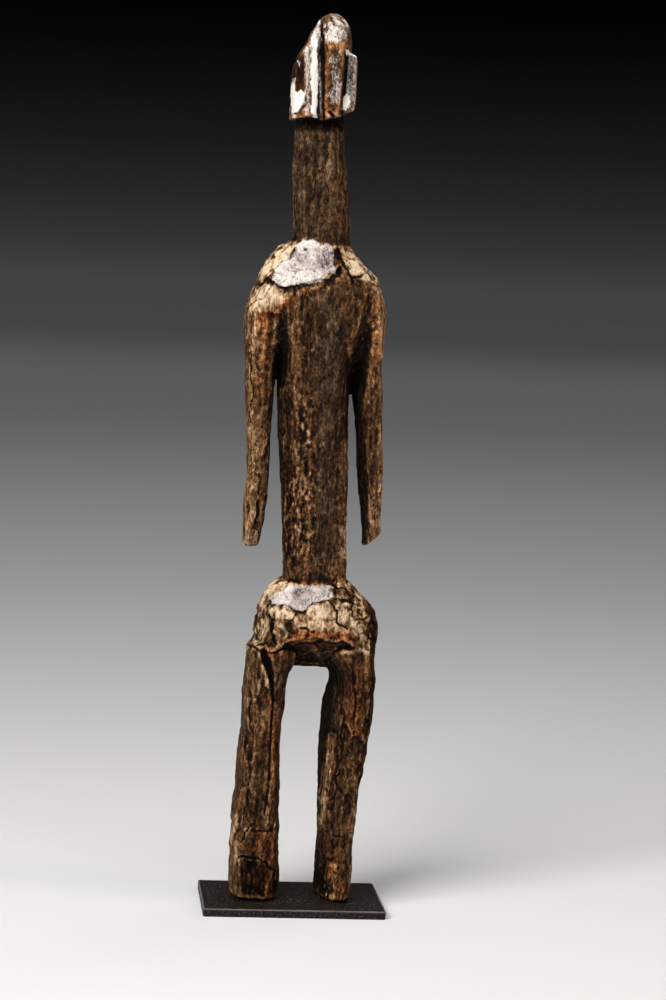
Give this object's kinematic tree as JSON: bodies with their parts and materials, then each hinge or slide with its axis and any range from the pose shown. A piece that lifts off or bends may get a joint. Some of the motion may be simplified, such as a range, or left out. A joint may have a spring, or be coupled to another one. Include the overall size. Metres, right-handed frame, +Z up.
{
  "type": "carved wooden standing figure",
  "caption": "Standing wooden figure with a crested head, long neck, free-hanging arms and straight legs, carved in one piece, on a flat black metal plate.",
  "frame": {"origin": "middle of the base plate's underside", "axes": "+Z up along the figure; the figure faces +Y, so the back that the picture shows is towards -Y; +X is to the right as the picture shows it"},
  "size_m": [0.18, 0.13, 0.8848],
  "materials": {
    "carved_wood": "hand-adzed, dark weathered patina",
    "blackened_steel": "satin black"
  },
  "bodies": {
    "root": {"figure": "carved_wood", "base_plate": "blackened_steel"}
  },
  "joints": []
}
